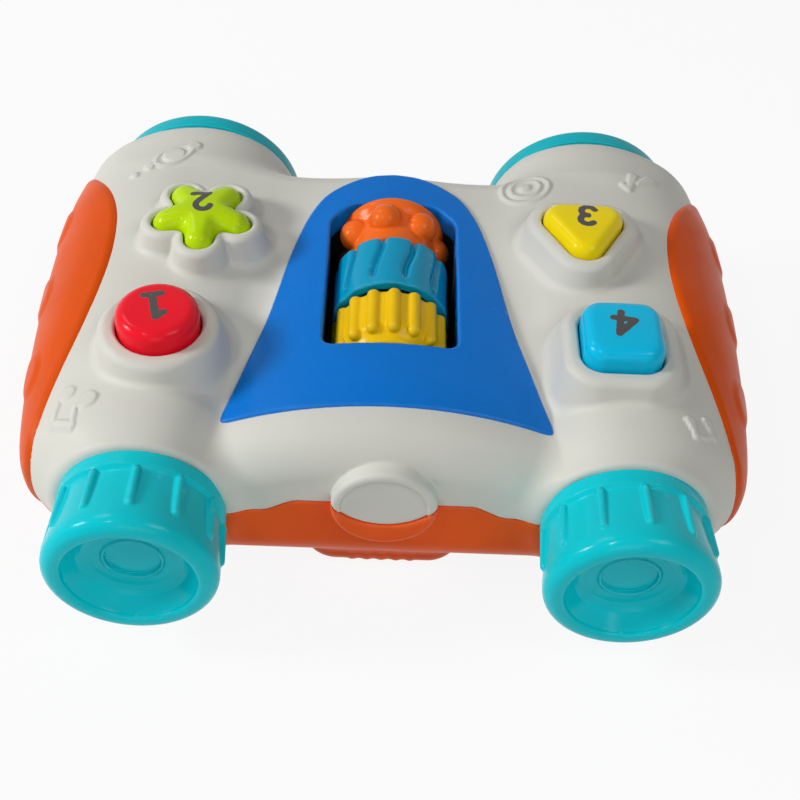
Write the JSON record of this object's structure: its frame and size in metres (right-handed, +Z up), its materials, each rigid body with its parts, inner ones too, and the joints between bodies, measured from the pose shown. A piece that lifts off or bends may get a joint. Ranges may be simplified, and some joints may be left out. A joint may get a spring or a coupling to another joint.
{
  "type": "toy binoculars",
  "caption": "Toy binoculars with shaped push buttons, ribbed and lobed thumb rollers under an arched face plate, turning front cups, side grips and a battery box below.",
  "frame": {"origin": "centre of the plan outline on the standing surface", "axes": "+X across to the square button's side, +Y from the front cups to the eyepieces, +Z up"},
  "size_m": [0.178, 0.1388, 0.0617],
  "materials": {
    "white_shell": "satin moulded plastic",
    "orange_shell": "satin moulded plastic",
    "orange_grip": "soft matte plastic",
    "orange_door": "satin moulded plastic",
    "blue_plate": "glossy moulded plastic",
    "dark_cradle": "dull moulded plastic",
    "steel_screw": "zinc plated",
    "steel_axle": "drawn bright",
    "yellow_rib": "glossy moulded plastic",
    "blue_lobe": "glossy moulded plastic",
    "orange_ball": "glossy moulded plastic",
    "red_cap": "glossy moulded plastic",
    "lime_cap": "glossy moulded plastic",
    "yellow_cap": "glossy moulded plastic",
    "cyan_cap": "glossy moulded plastic",
    "dome_rubber": "moulded silicone",
    "board_green": "solder resist",
    "chip_black": "cured resin",
    "speaker_steel": "pressed and plated",
    "cone_paper": "pressed paper",
    "magnet_iron": "bare ferrite",
    "cell_wrap": "printed wrap",
    "contact_nickel": "nickel plated",
    "slider_black": "dull moulded plastic",
    "switch_steel": "tinned",
    "teal_cup": "glossy moulded plastic",
    "white_retainer": "moulded plastic",
    "teal_ring": "glossy moulded plastic",
    "lens_clear": "clear polished plastic"
  },
  "bodies": {
    "casing": {"upper_shell": "white_shell", "lower_shell": "orange_shell", "left_grip": "orange_grip", "right_grip": "orange_grip", "face_plate": "blue_plate", "roller_cradle": "dark_cradle", "cradle_screws": "steel_screw", "roller_axle": "steel_axle", "red_dome": "dome_rubber", "star_dome": "dome_rubber", "triangle_dome": "dome_rubber", "square_dome": "dome_rubber", "circuit_board": "board_green", "sound_chip": "chip_black", "board_screws": "steel_screw", "speaker_frame": "speaker_steel", "speaker_cone": "cone_paper", "speaker_magnet": "magnet_iron", "speaker_screws": "steel_screw", "cells": "cell_wrap", "contact_plates": "contact_nickel", "contact_springs": "contact_nickel", "battery_door": "orange_door", "door_screw": "steel_screw", "slide_switch": "switch_steel", "left_eye_ring": "teal_ring", "right_eye_ring": "teal_ring", "left_eye_lens": "lens_clear", "right_eye_lens": "lens_clear", "shell_screws": "steel_screw"},
    "yellow_roller": {"yellow_roller": "yellow_rib"},
    "blue_roller": {"blue_roller": "blue_lobe"},
    "orange_roller": {"orange_roller": "orange_ball"},
    "red_button": {"red_button": "red_cap"},
    "star_button": {"star_button": "lime_cap"},
    "triangle_button": {"triangle_button": "yellow_cap"},
    "square_button": {"square_button": "cyan_cap"},
    "left_cup": {"left_front_cup": "teal_cup", "left_cup_retainer": "white_retainer", "left_cup_screw": "steel_screw"},
    "right_cup": {"right_front_cup": "teal_cup", "right_cup_retainer": "white_retainer", "right_cup_screw": "steel_screw"},
    "power": {"power_slider": "slider_black", "switch_lever": "switch_steel"}
  },
  "joints": [
    {"name": "yellow_spin", "type": "hinge", "parent": "casing", "child": "yellow_roller", "pos_m": [0, -0.00925, 0.0426], "axis": [0, 1, 0], "continuous": true},
    {"name": "blue_spin", "type": "hinge", "parent": "casing", "child": "blue_roller", "pos_m": [0, 0.00825, 0.0426], "axis": [0, 1, 0], "continuous": true},
    {"name": "orange_spin", "type": "hinge", "parent": "casing", "child": "orange_roller", "pos_m": [0, 0.02575, 0.0426], "axis": [0, 1, 0], "continuous": true},
    {"name": "red_press", "type": "slide", "parent": "casing", "child": "red_button", "axis": [0, 0, -1], "range_m": [0, 0.0025], "stiffness_N_per_m": 350, "deforming": ["red_dome"]},
    {"name": "star_press", "type": "slide", "parent": "casing", "child": "star_button", "axis": [0, 0, -1], "range_m": [0, 0.0025], "stiffness_N_per_m": 350, "deforming": ["star_dome"]},
    {"name": "triangle_press", "type": "slide", "parent": "casing", "child": "triangle_button", "axis": [0, 0, -1], "range_m": [0, 0.0025], "stiffness_N_per_m": 350, "deforming": ["triangle_dome"]},
    {"name": "square_press", "type": "slide", "parent": "casing", "child": "square_button", "axis": [0, 0, -1], "range_m": [0, 0.0025], "stiffness_N_per_m": 350, "deforming": ["square_dome"]},
    {"name": "left_cup_turn", "type": "hinge", "parent": "casing", "child": "left_cup", "pos_m": [-0.055, -0.05, 0.0291], "axis": [0, 1, 0], "continuous": true},
    {"name": "right_cup_turn", "type": "hinge", "parent": "casing", "child": "right_cup", "pos_m": [0.055, -0.05, 0.0291], "axis": [0, 1, 0], "continuous": true},
    {"name": "power_slide", "type": "slide", "parent": "casing", "child": "power", "axis": [1, 0, 0], "range_m": [0, 0.004]}
  ]
}
